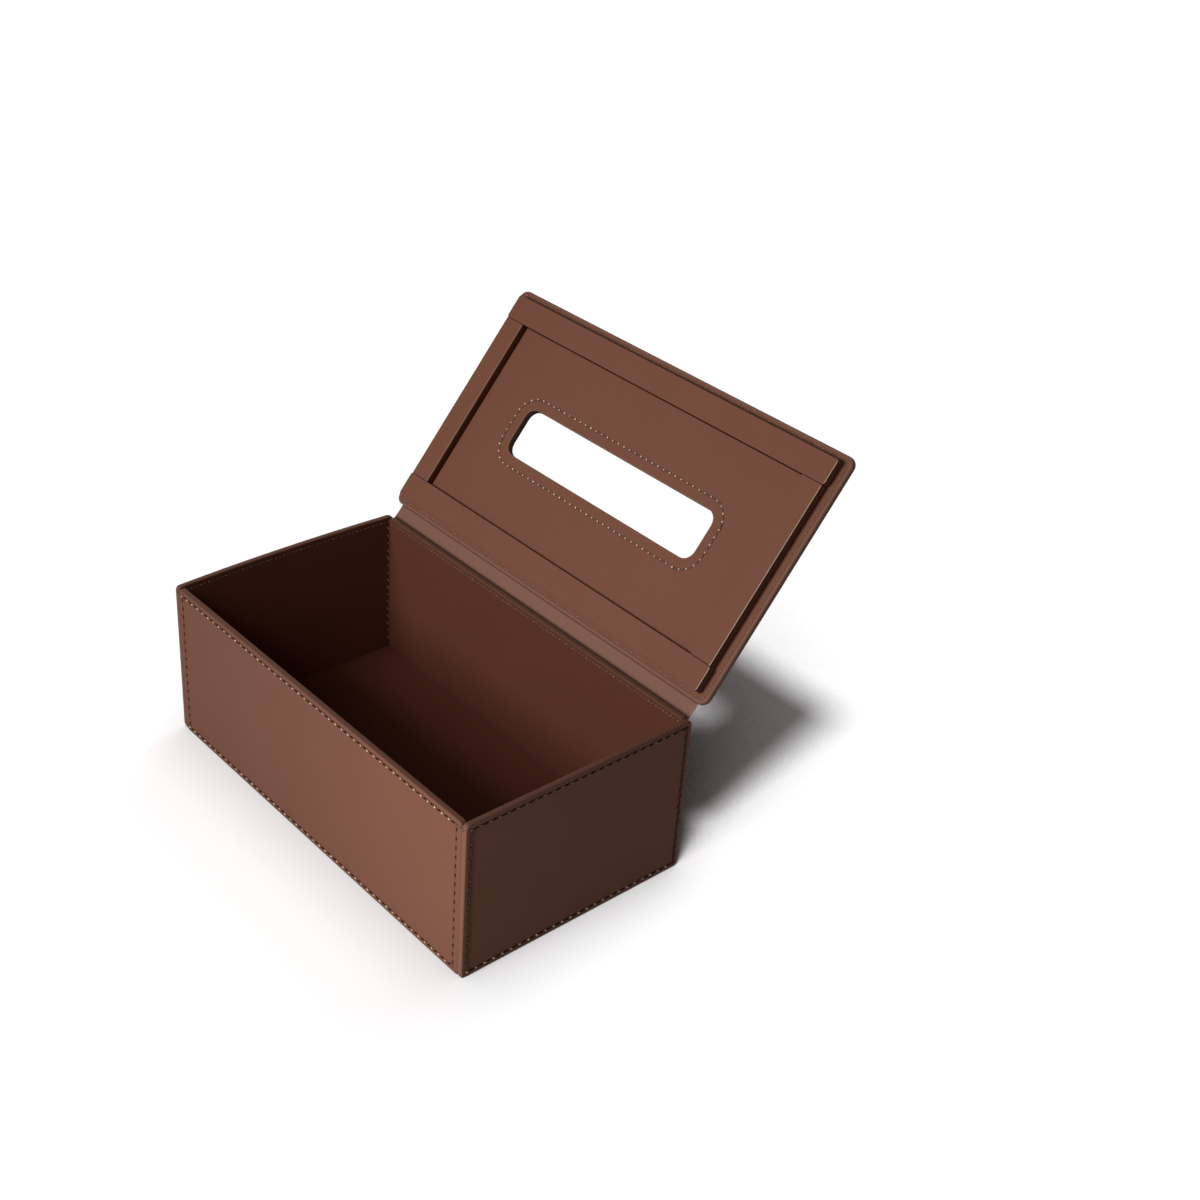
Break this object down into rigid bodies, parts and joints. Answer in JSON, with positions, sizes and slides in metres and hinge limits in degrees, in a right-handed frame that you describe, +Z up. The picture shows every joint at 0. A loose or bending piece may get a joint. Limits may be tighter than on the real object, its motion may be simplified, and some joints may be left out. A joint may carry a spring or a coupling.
{
  "type": "tissue box holder",
  "caption": "Low rectangular leather box with a stitched lid on a leather fold hinge, a rim that drops inside the walls and a long rounded slot for drawing tissues.",
  "frame": {"origin": "middle of the box's underside, on the table", "axes": "+X along the box, +Y from the front to the hinge at the back, +Z up"},
  "size_m": [0.2536, 0.2335, 0.2051],
  "materials": {
    "leather": "matte",
    "lining_leather": "matte",
    "greyboard": "matte",
    "thread": "satin"
  },
  "bodies": {
    "box": {"back_cover": "leather", "back_board": "greyboard", "back_lining": "lining_leather", "left_cover": "leather", "left_board": "greyboard", "left_lining": "lining_leather", "front_cover": "leather", "front_board": "greyboard", "front_lining": "lining_leather", "right_cover": "leather", "right_board": "greyboard", "right_lining": "lining_leather", "base_cover": "leather", "base_board": "greyboard", "base_lining": "lining_leather", "hinge_wall_leaf": "leather"},
    "lid": {"rim_front_cover": "leather", "rim_front_board": "greyboard", "rim_rear_cover": "leather", "rim_rear_board": "greyboard", "rim_left_cover": "leather", "rim_left_board": "greyboard", "rim_right_cover": "leather", "rim_right_board": "greyboard", "lid_cover": "leather", "lid_board": "greyboard", "lid_infill_card": "greyboard", "lid_lining": "leather", "hinge_lid_leaf": "leather"}
  },
  "joints": [
    {"name": "lid_hinge", "type": "hinge", "parent": "box", "child": "lid", "pos_m": [0, 0.07335, 0.0927], "axis": [1, 0, 0], "range_deg": [-86, 129.15]}
  ]
}
